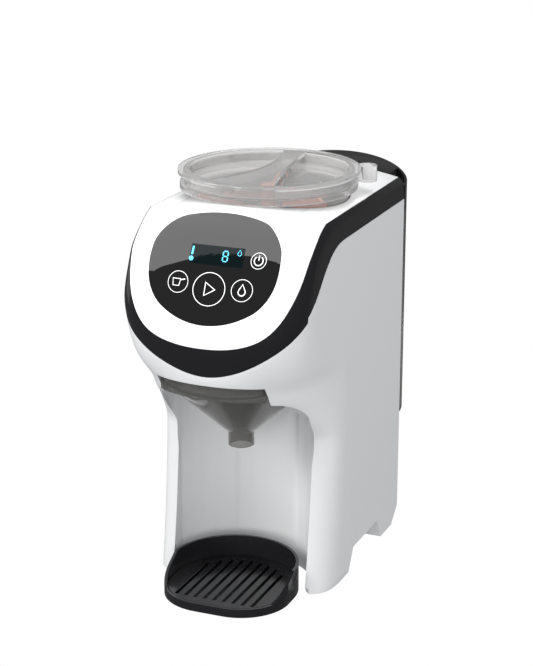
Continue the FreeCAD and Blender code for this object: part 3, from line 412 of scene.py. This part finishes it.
@dataclass(frozen=True)
class GreyHousing:
    """The grey lower body: the CAD shell without its inner runners, and the bay's back panel.

    Attributes:
        runner_low: Lowest corner of the right runner's box.
        runner_high: Its highest corner.
        bay_middle: Place in y of the centre of the bay's round back wall.
        panel_radius: Inner radius of the back panel.
        panel_half: Its half width.
        panel_levels: Its lower and upper edge.
        panel_wall: Its thickness.
        panel_steps: How many flats its curve is made of.
        rounding: The rounding of the housing's edges.
    """

    runner_low: Point3 = (54.6, -113.7, 1.0)
    runner_high: Point3 = (63.5, -87.3, 6.4)
    bay_middle: float = -95.0
    panel_radius: float = 64.7
    panel_half: float = 45.0
    panel_levels: Point2 = (139.4, 157.4)
    panel_wall: float = 1.2
    panel_steps: int = 24
    rounding: EdgeRounding = EdgeRounding(0.9)

    def build(self, shell: bpy.types.Object, shop: FinishShop) -> None:
        """Makes both pieces.

        Args:
            shell: The CAD node of the grey body.
            shop: Where the finishes come from.
        """
        body = self._body(shell)
        panel = self._panel()
        for piece in (body, panel):
            shop.dress(piece, Look.GREY)
            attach(piece, Body.HOUSING.value)
        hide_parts("body_shell")

    def _body(self, shell: bpy.types.Object) -> bpy.types.Object:
        """Copies the shell, merges its loose triangles and takes its runners away.

        Args:
            shell: The CAD node of the grey body.

        Returns:
            The finished copy.
        """
        mesh = shell.data.copy()
        mesh.name = "grey_housing"
        body = bpy.data.objects.new("grey_housing", mesh)
        bpy.context.scene.collection.objects.link(body)
        with editing(body):
            bpy.ops.mesh.select_all(action="SELECT")
            bpy.ops.mesh.remove_doubles(threshold=SEAM_GAP)
            bpy.ops.mesh.select_mode(type="FACE")
            bpy.ops.mesh.select_all(action="DESELECT")
        runner_faces = [face for face in mesh.polygons if self._in_runner(mesh, face)]
        for face in runner_faces:
            face.select = True
        with editing(body):
            bpy.ops.mesh.delete(type="FACE")
            bpy.ops.mesh.select_mode(type="EDGE")
            self._select_open_edges()
            bpy.ops.mesh.fill_holes(sides=0)
        LOG.info("grey_housing: %d runner faces taken away", len(runner_faces))
        self.rounding.add_to(body)
        return body

    def _in_runner(self, mesh: bpy.types.Mesh, face: bpy.types.MeshPolygon) -> bool:
        """Tells whether a face lies in one of the two runners' boxes.

        Args:
            mesh: The copy of the shell.
            face: One of its faces.

        Returns:
            True if every corner of the face does.
        """
        for index in face.vertices:
            x, y, z = mesh.vertices[index].co / MM
            spot = (abs(x), y, z)
            if not all(
                low <= part <= high
                for low, part, high in zip(self.runner_low, spot, self.runner_high)
            ):
                return False
        return True

    def _panel(self) -> bpy.types.Object:
        """Turns the curved panel that closes the bay's back wall behind the funnel.

        Returns:
            The panel.
        """
        reach = math.asin(self.panel_half / self.panel_radius)
        low, high = self.panel_levels
        radius = self.panel_radius + self.panel_wall / 2.0
        start = Vector((-math.sin(reach), math.cos(reach), 0.0)) * radius
        start.z = (low + high) / 2.0
        upright = (math.pi / 2.0, 0.0, math.pi / 2.0 + reach)
        bpy.ops.object.select_all(action="DESELECT")
        bpy.ops.mesh.primitive_plane_add(size=1.0, location=start * MM, rotation=upright)
        panel = bpy.context.object
        panel.name = panel.data.name = "bay_back_panel"
        panel.scale = (self.panel_wall * MM, (high - low) * MM, 1.0)
        bpy.ops.object.transform_apply(location=True, rotation=True, scale=True)
        with editing(panel):
            bpy.ops.mesh.select_all(action="SELECT")
            bpy.ops.mesh.delete(type="ONLY_FACE")
        turn = panel.modifiers.new("bay_curve", "SCREW")
        turn.axis = "Z"
        turn.angle = -2.0 * reach
        turn.steps = turn.render_steps = self.panel_steps
        turn.use_smooth_shade = False
        bpy.ops.object.modifier_apply(modifier=turn.name)
        with editing(panel):
            bpy.ops.mesh.select_all(action="DESELECT")
            bpy.ops.mesh.select_mode(type="EDGE")
            self._select_open_edges()
            bpy.ops.mesh.fill_holes(sides=0)
            bpy.ops.mesh.select_all(action="SELECT")
            bpy.ops.mesh.normals_make_consistent(inside=False)
        panel.location.y = self.bay_middle * MM
        bpy.ops.object.transform_apply(location=True)
        return panel

    @staticmethod
    def _select_open_edges() -> None:
        """Selects the edges of holes in the mesh that is open in edit mode."""
        bpy.ops.mesh.select_non_manifold(
            extend=False, use_wire=False, use_multi_face=False,
            use_non_contiguous=False, use_verts=False,
        )


@dataclass(frozen=True)
class Stroke:
    """A printed line on the glass, seen from the front.

    Attributes:
        points: Points (x, z).
        width: Line width.
        closed: Whether the line closes on itself.
    """

    points: tuple[Point2, ...]
    width: float
    closed: bool = False


def on_ellipse(centre: Point2, radius: Point2, turn: float) -> Point2:
    """Returns one point of an ellipse.

    Args:
        centre: Its middle (x, z).
        radius: Its half width and half height.
        turn: The point's angle from +x, in radians.

    Returns:
        The point (x, z).
    """
    return centre[0] + radius[0] * math.cos(turn), centre[1] + radius[1] * math.sin(turn)


def circle(centre: Point2, radius: Point2, steps: int) -> tuple[Point2, ...]:
    """Returns the points of a whole ellipse.

    Args:
        centre: Its middle (x, z).
        radius: Its half width and half height.
        steps: How many points.

    Returns:
        The points, in order.
    """
    return tuple(on_ellipse(centre, radius, 2.0 * math.pi * n / steps) for n in range(steps))


def arc(
    centre: Point2, radius: Point2, start: float, end: float, steps: int
) -> tuple[Point2, ...]:
    """Returns the points of part of an ellipse.

    Args:
        centre: Its middle (x, z).
        radius: Its half width and half height.
        start: First angle, in degrees from +x.
        end: Last angle, in degrees.
        steps: How many steps.

    Returns:
        The points, in order.
    """
    turns = (math.radians(start + (end - start) * n / steps) for n in range(steps + 1))
    return tuple(on_ellipse(centre, radius, turn) for turn in turns)


@dataclass
class GlassPrinter:
    """Lays thin printed shapes on the outer face of the touch glass.

    Attributes:
        glass: The glass, with its rounded edges.
        shop: Where the finishes come from.
        lift: How far a line stands off the glass.
        window_share: How far a window stands off it, as a share of that.
        lean: Height of the leaning glass in the front view, as a share of its own.
        ahead: How far in front the rays to the glass start.
        window_grid: How many faces a window has across and up.
    """

    glass: bpy.types.Object
    shop: FinishShop
    lift: float = 0.10
    window_share: float = 0.4
    lean: float = 0.885
    ahead: float = 400.0
    window_grid: tuple[int, int] = (24, 10)

    def __post_init__(self) -> None:
        """Prepares the finished glass for being met by rays."""
        self._tree = BVHTree.FromObject(self.glass, bpy.context.evaluated_depsgraph_get())

    def _spot(self, x: float, z: float, lift: float) -> Vector:
        """Finds the point of the glass behind a point of the front view.

        Args:
            x: Place across.
            z: Height.
            lift: How far off the glass.

        Returns:
            The point, in metres.

        Raises:
            ValueError: If the point is beside the glass.
        """
        start = Vector((x, -self.ahead, z)) * MM
        place, normal, _, _ = self._tree.ray_cast(start, Vector((0.0, 1.0, 0.0)))
        if place is None:
            raise ValueError(f"({x:.1f}, {z:.1f}) isn't on the glass")
        return place + normal * lift * MM

    def _piece(
        self, name: str, spots: list[Vector], faces: list[tuple[int, ...]], look: Look
    ) -> None:
        """Makes a piece that rides on the housing.

        Args:
            name: The piece's name.
            spots: Its points, in metres.
            faces: Its faces.
            look: Its finish.
        """
        mesh = bpy.data.meshes.new(name)
        mesh.from_pydata(spots, [], faces)
        mesh.validate()
        piece = bpy.data.objects.new(name, mesh)
        bpy.context.scene.collection.objects.link(piece)
        self.shop.dress(piece, look)
        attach(piece, Body.HOUSING.value)

    def lines(self, name: str, strokes: Iterable[Stroke], look: Look) -> None:
        """Prints strokes as flat ribbons.

        Args:
            name: The piece's name.
            strokes: The lines.
            look: Their finish.
        """
        spots: list[Vector] = []
        faces: list[tuple[int, ...]] = []
        for stroke in strokes:
            self._ribbon(stroke, spots, faces)
        self._piece(name, spots, faces, look)

    def _ribbon(
        self, stroke: Stroke, spots: list[Vector], faces: list[tuple[int, ...]]
    ) -> None:
        """Adds one stroke's ribbon to a mesh, as wide on the leaning glass in every direction.

        Args:
            stroke: The line.
            spots: The mesh's points, added to.
            faces: The mesh's faces, added to.
        """
        points = [Vector((x, z / self.lean)) for x, z in stroke.points]
        count = len(points)
        first = len(spots)
        for n, here in enumerate(points):
            before = points[n - 1] if n or stroke.closed else here
            after = points[(n + 1) % count] if n + 1 < count or stroke.closed else here
            run = (after - before).normalized()
            side = Vector((-run.y, run.x)) * stroke.width / 2.0
            for edge in (here + side, here - side):
                spots.append(self._spot(edge.x, edge.y * self.lean, self.lift))
        for n in range(count if stroke.closed else count - 1):
            here, there = first + 2 * n, first + 2 * ((n + 1) % count)
            faces.append((here, here + 1, there + 1, there))

    def window(self, name: str, corners: Sequence[Point2], look: Look) -> None:
        """Prints a four-cornered window as a fine grid.

        Args:
            name: The piece's name.
            corners: Lower left, lower right, upper right and upper left (x, z).
            look: Its finish.
        """
        low_left, low_right, high_right, high_left = (Vector(corner) for corner in corners)
        across, up = self.window_grid
        lift = self.lift * self.window_share
        spots: list[Vector] = []
        for row in range(up + 1):
            for column in range(across + 1):
                low = low_left.lerp(low_right, column / across)
                high = high_left.lerp(high_right, column / across)
                spot = low.lerp(high, row / up)
                spots.append(self._spot(spot.x, spot.y, lift))
        step = across + 1
        starts = (row * step + column for row in range(up) for column in range(across))
        faces = [(n, n + 1, n + step + 1, n + step) for n in starts]
        self._piece(name, spots, faces, look)


@dataclass(frozen=True)
class Ring:
    """The ring round a touch key.

    Attributes:
        centre: Its middle (x, z).
        radius: Its half width and half height.
        line: Width of its line.
        steps: How many straight parts it has.
    """

    centre: Point2
    radius: Point2
    line: float = 0.5
    steps: int = 64

    def stroke(self) -> Stroke:
        """Returns the ring's closed line."""
        return Stroke(circle(self.centre, self.radius, self.steps), self.line, closed=True)


@dataclass(frozen=True)
class DropSign:
    """The outline of a water drop.

    Attributes:
        centre: The middle of its round part (x, z).
        size: Half width of the round part.
        line: Width of its line.
        squat: Half height of the round part, as a share of its half width.
        tip: Height of the tip over the middle, as a share of the half width.
        round_from: Where the round part starts, in degrees from +x.
        round_to: Where it ends.
        steps: How many straight parts it has.
    """

    centre: Point2
    size: float
    line: float
    squat: float = 0.9
    tip: float = 1.9
    round_from: float = 150.0
    round_to: float = 390.0
    steps: int = 20

    def stroke(self) -> Stroke:
        """Draws the drop.

        Returns:
            Its closed line.
        """
        radius = (self.size, self.size * self.squat)
        belly = arc(self.centre, radius, self.round_from, self.round_to, self.steps)
        tip = (self.centre[0], self.centre[1] + self.size * self.tip)
        return Stroke((*belly, tip), self.line, closed=True)


@dataclass(frozen=True)
class DisplayPrint:
    """The display's window, thermometer, digit and water drop.

    Attributes:
        window: Its corners (x, z), from lower left round to upper left.
        stem: The thermometer's upper and lower end.
        stem_line: Width of its line.
        bulb: The ring at its foot.
        digit_sides: Left and right side of the digit.
        digit_levels: Its lower, middle and upper level.
        digit_gap: How far a bar ends before the next.
        digit_line: Width of a bar.
        drop: The water drop.
    """

    window: tuple[Point2, ...] = ((-20.3, 291.3), (25.0, 291.3), (25.0, 305.0), (-20.3, 305.0))
    stem: tuple[Point2, ...] = ((-18.3, 303.2), (-18.6, 297.4))
    stem_line: float = 1.6
    bulb: Ring = Ring((-18.8, 294.6), (0.95, 0.85), line=1.9, steps=24)
    digit_sides: Point2 = (7.6, 11.6)
    digit_levels: Point3 = (294.7, 298.3, 301.9)
    digit_gap: float = 0.5
    digit_line: float = 0.9
    drop: DropSign = DropSign((21.0, 301.0), 1.5, 0.45)

    def build(self, printer: GlassPrinter) -> None:
        """Prints the display.

        Args:
            printer: What prints on the glass.
        """
        printer.window("display_window", self.window, Look.SCREEN)
        thermometer = (Stroke(self.stem, self.stem_line), self.bulb.stroke())
        printer.lines("display_thermometer", thermometer, Look.DISPLAY)
        printer.lines("display_digit", self._digit(), Look.DISPLAY)
        printer.lines("display_drop", (self.drop.stroke(),), Look.DISPLAY)

    def _digit(self) -> list[Stroke]:
        """Draws the digit.

        Returns:
            Its seven bars, the level ones first.
        """
        (left, right), (low, middle, high) = self.digit_sides, self.digit_levels
        gap = self.digit_gap
        bars = [((left + gap, z), (right - gap, z)) for z in (high, middle, low)]
        for foot, head in ((middle, high), (low, middle)):
            bars += [((x, foot + gap), (x, head - gap)) for x in (left, right)]
        return [Stroke(bar, self.digit_line) for bar in bars]


@dataclass(frozen=True)
class KeyPrint:
    """The four touch keys: a ring and a sign each.

    Attributes:
        power: Ring of the power key.
        power_radius: Half width and half height of the power sign.
        power_turns: Where its open circle starts and ends, in degrees from +x.
        power_steps: How many straight parts that circle has.
        power_bar: Lower and upper end of its bar over the key's middle.
        powder: Ring of the powder key.
        bowl: The measuring scoop's bowl.
        handle: Its handle.
        start: Ring of the start key.
        play: Its triangle.
        water: Ring of the water key.
        drop_below: How far the drop's round part is below the ring's middle.
        drop_size: Half width of the drop.
        sign_line: Width of the power sign's and the drop's line.
    """

    power: Ring = Ring((37.3, 297.4), (6.1, 5.6))
    power_radius: Point2 = (3.5, 3.2)
    power_turns: Point2 = (125.0, 415.0)
    power_steps: int = 32
    power_bar: Point2 = (0.3, 3.9)
    powder: Ring = Ring((-26.4, 276.9), (8.5, 7.7))
    bowl: Stroke = Stroke(
        ((-31.0, 279.2), (-30.2, 274.2), (-25.2, 274.2), (-24.4, 279.2)), 0.8, closed=True
    )
    handle: Stroke = Stroke(((-24.6, 278.4), (-20.6, 279.4)), 0.9)
    start: Ring = Ring((0.6, 274.1), (13.4, 11.9), line=0.6, steps=96)
    play: Stroke = Stroke(((-2.9, 278.9), (-2.9, 269.3), (5.7, 274.1)), 1.3, closed=True)
    water: Ring = Ring((28.0, 275.7), (8.7, 7.8))
    drop_below: float = 1.1
    drop_size: float = 2.9
    sign_line: float = 0.85

    def build(self, printer: GlassPrinter) -> None:
        """Prints the keys.

        Args:
            printer: What prints on the glass.
        """
        keys = {
            "power_key": (self.power, *self._power_sign()),
            "powder_key": (self.powder, self.bowl, self.handle),
            "start_key": (self.start, self.play),
            "water_key": (self.water, self._drop()),
        }
        for name, (ring, *sign) in keys.items():
            printer.lines(name, (ring.stroke(), *sign), Look.PRINT)

    def _power_sign(self) -> tuple[Stroke, Stroke]:
        """Draws the power sign.

        Returns:
            Its open circle and its bar.
        """
        x, z = self.power.centre
        low, high = self.power_bar
        opened = arc(self.power.centre, self.power_radius, *self.power_turns, self.power_steps)
        bar = ((x, z + low), (x, z + high))
        return Stroke(opened, self.sign_line), Stroke(bar, self.sign_line)

    def _drop(self) -> Stroke:
        """Returns the drop of the water key."""
        x, z = self.water.centre
        return DropSign((x, z - self.drop_below), self.drop_size, self.sign_line).stroke()


def area_light(name: str, size: Point2, power: float) -> bpy.types.Object:
    """Adds a rectangular light, which its caller then places.

    Args:
        name: The light's name.
        size: Its width and height, in metres.
        power: Its power, in watts.

    Returns:
        The light.
    """
    data = bpy.data.lights.new(name, "AREA")
    data.shape = "RECTANGLE"
    data.size, data.size_y = size
    data.energy = power
    light = bpy.data.objects.new(name, data)
    bpy.context.scene.collection.objects.link(light)
    return light


@dataclass(frozen=True)
class SoftBox:
    """An area light aimed at a point, which glossy pieces don't mirror.

    Attributes:
        name: The light's name.
        place: Where it stands, in metres.
        size: Its width and height, in metres.
        power: Its power, in watts.
        aim: What it looks at, in metres.
    """

    name: str
    place: Point3
    size: Point2
    power: float
    aim: Point3 = (0.0, -0.02, 0.18)

    def build(self) -> None:
        """Hangs the light."""
        light = area_light(self.name, self.size, self.power)
        light.location = self.place
        way = Vector(self.aim) - Vector(self.place)
        light.rotation_euler = way.to_track_quat("-Z", "Y").to_euler()
        light.visible_glossy = False


@dataclass(frozen=True)
class MirrorCard:
    """A bright card over the machine that lights nothing and is only mirrored by gloss.

    Attributes:
        edge: The middle of its front edge, in metres.
        way: The direction from that edge across the card.
        along: The direction of that edge.
        size: Its depth and its length along the edge, in metres.
        power: Its power, in watts.
    """

    edge: Point3
    way: Point3
    along: Point3
    size: Point2
    power: float

    def build(self) -> None:
        """Hangs the card."""
        light = area_light("mirror_card", self.size, self.power)
        across = Vector(self.way).normalized()
        along = Vector(self.along).normalized()
        middle = Vector(self.edge) + across * self.size[0] / 2.0
        turn = Matrix((across, along, across.cross(along))).transposed().to_4x4()
        light.matrix_world = Matrix.Translation(middle) @ turn
        light.visible_camera = False
        light.visible_diffuse = False
        light.visible_transmission = False


@dataclass(frozen=True)
class WhiteRoom:
    """The world: white behind the machine, an even room and a dim one for mirrored rays.

    Attributes:
        tint: Colour of the light from the room, linear.
        room: Strength of that light.
        backdrop: Strength of the white that the camera sees.
        mirrored: Strength of the white that glossy pieces mirror.
    """

    tint: Colour = (0.95, 0.97, 1.0)
    room: float = 0.62
    backdrop: float = 1.0
    mirrored: float = 0.12

    def build(self) -> None:
        """Makes the world."""
        world = bpy.data.worlds.new("white_room")
        bpy.context.scene.world = world
        world.use_nodes = True
        tree = world.node_tree
        tree.nodes.clear()
        new, join = tree.nodes.new, tree.links.new
        white = (1.0, 1.0, 1.0)
        out = new("ShaderNodeOutputWorld")
        path = new("ShaderNodeLightPath")
        seen = new("ShaderNodeMath")
        seen.operation = "MAXIMUM"
        join(path.outputs["Is Camera Ray"], seen.inputs[0])
        join(path.outputs["Is Transmission Ray"], seen.inputs[1])
        inner, whole = new("ShaderNodeMixShader"), new("ShaderNodeMixShader")
        join(path.outputs["Is Glossy Ray"], inner.inputs["Fac"])
        join(self._background(tree, self.tint, self.room), inner.inputs[1])
        join(self._background(tree, white, self.mirrored), inner.inputs[2])
        join(seen.outputs["Value"], whole.inputs["Fac"])
        join(inner.outputs["Shader"], whole.inputs[1])
        join(self._background(tree, white, self.backdrop), whole.inputs[2])
        join(whole.outputs["Shader"], out.inputs["Surface"])

    @staticmethod
    def _background(
        tree: bpy.types.NodeTree, colour: Colour, strength: float
    ) -> bpy.types.NodeSocket:
        """Adds a plain background shader.

        Args:
            tree: The world's node tree.
            colour: Its colour, linear.
            strength: Its strength.

        Returns:
            Its output socket.
        """
        node = tree.nodes.new("ShaderNodeBackground")
        node.inputs["Color"].default_value = (*colour, 1.0)
        node.inputs["Strength"].default_value = strength
        return node.outputs["Background"]


@dataclass(frozen=True)
class ProductCamera:
    """The camera of the photograph.

    Attributes:
        lens: Focal length.
        sensor: Width of the sensor.
        shift: Shift across and up, as shares of the frame.
        place: Where it stands, in metres.
        turn: How it is turned about x, y and z, in degrees.
        clip: The nearest and farthest distance it sees, in metres.
    """

    lens: float = 104.09
    sensor: float = 36.0
    shift: Point2 = (-0.0027, 0.0754)
    place: Point3 = (0.5915, -1.4523, 0.6942)
    turn: Point3 = (70.863, 0.0, 22.507)
    clip: Point2 = (0.05, 20.0)

    def build(self) -> None:
        """Places the camera and makes it the scene's."""
        data = bpy.data.cameras.new("product_camera")
        data.lens = self.lens
        data.sensor_width = self.sensor
        data.shift_x, data.shift_y = self.shift
        data.clip_start, data.clip_end = self.clip
        camera = bpy.data.objects.new("product_camera", data)
        camera.location = self.place
        camera.rotation_euler = tuple(math.radians(angle) for angle in self.turn)
        bpy.context.scene.collection.objects.link(camera)
        bpy.context.scene.camera = camera


@dataclass(frozen=True)
class Studio:
    """The white room, the lights, the camera and the plain view transform.

    Attributes:
        room: The world.
        camera: The camera.
        lights: The soft lights.
        card: The card whose mirror image crosses the touch glass.
        bounces: How often light may turn in all, and on its way through clear pieces.
    """

    room: WhiteRoom = WhiteRoom()
    camera: ProductCamera = ProductCamera()
    lights: tuple[SoftBox, ...] = (
        SoftBox("key_left", (-1.5, -1.3, 1.3), (1.1, 1.1), 34.0),
        SoftBox("top_soft", (0.0, 0.1, 1.9), (1.6, 1.6), 26.0),
        SoftBox("front_fill", (0.3, -2.0, 0.35), (1.4, 1.0), 21.0),
        SoftBox("right_soft", (1.9, -0.2, 0.8), (1.2, 1.4), 11.0),
    )
    card: MirrorCard = MirrorCard(
        edge=(-0.0651, -0.2513, 0.3916),
        way=(-0.0210, 0.9381, 0.3457),
        along=(-0.8938, 0.1374, -0.4269),
        size=(0.5, 0.8),
        power=1.26,
    )
    bounces: tuple[int, int] = (14, 12)

    def build(self) -> None:
        """Sets up the whole studio."""
        self.room.build()
        self.camera.build()
        for light in self.lights:
            light.build()
        self.card.build()
        scene = bpy.context.scene
        scene.view_settings.view_transform = "Standard"
        scene.cycles.max_bounces, scene.cycles.transmission_bounces = self.bounces
        scene.cycles.transparent_max_bounces = self.bounces[1]
        scene.cycles.caustics_reflective = False
        scene.cycles.caustics_refractive = False


def main() -> None:
    """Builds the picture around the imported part."""
    logging.basicConfig(level=logging.INFO)
    for obj in list(bpy.data.objects):
        bpy.data.objects.remove(obj, do_unlink=True)
    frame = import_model()
    nodes = frame["nodes"]
    shop = FinishShop()
    CadDresser(nodes, shop).run()
    GreyHousing().build(nodes["body_shell"], shop)
    printer = GlassPrinter(nodes["touch_glass"], shop)
    DisplayPrint().build(printer)
    KeyPrint().build(printer)
    Studio().build()
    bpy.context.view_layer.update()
    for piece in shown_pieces():
        LOG.info("%s: %d faces", piece.name, len(piece.data.polygons))


if __name__ == "__main__":
    main()
